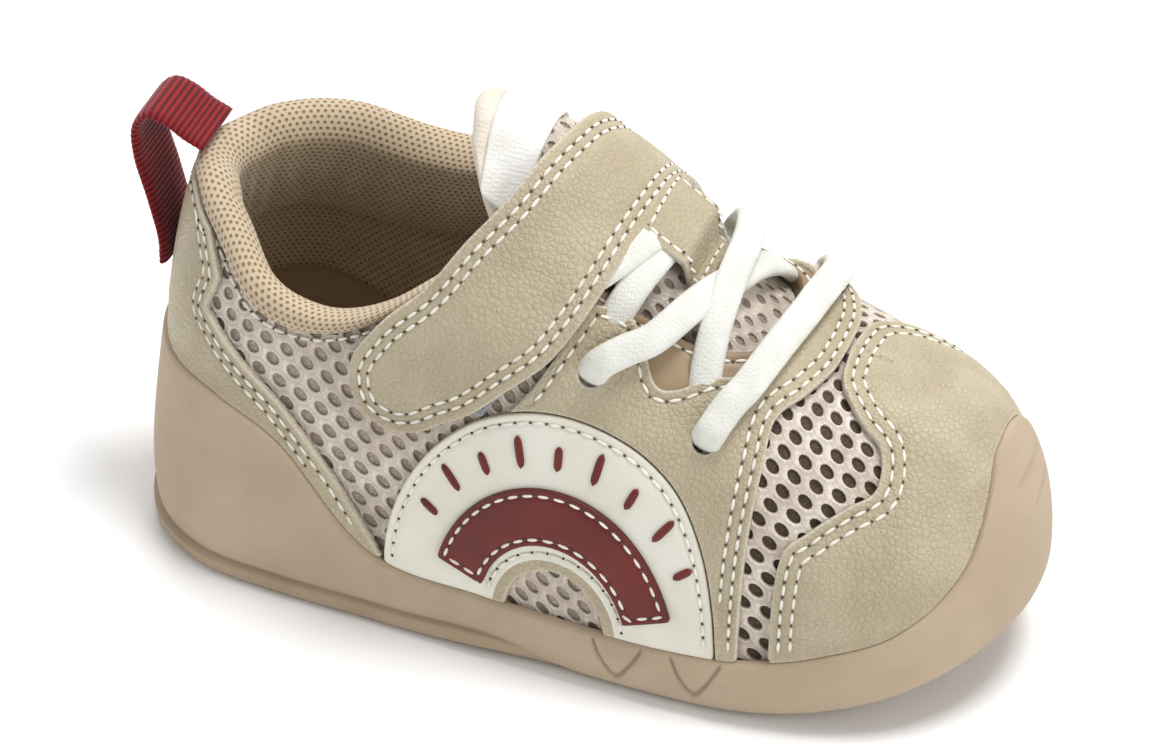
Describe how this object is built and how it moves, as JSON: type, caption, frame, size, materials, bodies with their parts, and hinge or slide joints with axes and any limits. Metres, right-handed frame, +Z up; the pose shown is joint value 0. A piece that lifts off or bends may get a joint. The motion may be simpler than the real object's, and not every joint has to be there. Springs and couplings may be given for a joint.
{
  "type": "toddler sneaker",
  "caption": "Low toddler sneaker for the right foot: cupped rubber sole with toe bumper and heel wings, mesh and leather upper, hook-and-loop strap, elastic laces and a heel pull loop.",
  "frame": {"origin": "middle of the heel's tread, on the floor", "axes": "+X towards the toe along the sole, +Y to the inner (medial) side of this right shoe, +Z up"},
  "size_m": [0.1496, 0.0648, 0.0859],
  "materials": {
    "sole_rubber": "matte, fine moulded grain",
    "grained_leather": "pebbled grain, soft sheen",
    "cream_leather": "smooth, soft sheen",
    "red_leather": "smooth, matte",
    "air_mesh": "knitted spacer mesh with round holes",
    "lining_fabric": "fine dotted knit, soft",
    "loop_fastener": "short loop nap",
    "label_weave": "fine weave",
    "lace_cord": "smooth elastic cord",
    "red_webbing": "ribbed webbing"
  },
  "bodies": {
    "root": {"outsole": "sole_rubber", "midsole": "sole_rubber", "insole": "lining_fabric", "upper": "air_mesh", "tongue": "air_mesh", "collar": "lining_fabric", "toe_cap": "grained_leather", "eyestay": "grained_leather", "side_panel": "cream_leather", "accent_patch": "red_leather", "saddle": "grained_leather", "heel_counter": "grained_leather", "strap_pad": "loop_fastener", "strap": "grained_leather", "tongue_label": "label_weave", "lace_keeper": "grained_leather", "lace_front": "lace_cord", "lace_cross": "lace_cord", "lace_top": "lace_cord", "pull_loop": "red_webbing"}
  },
  "joints": []
}
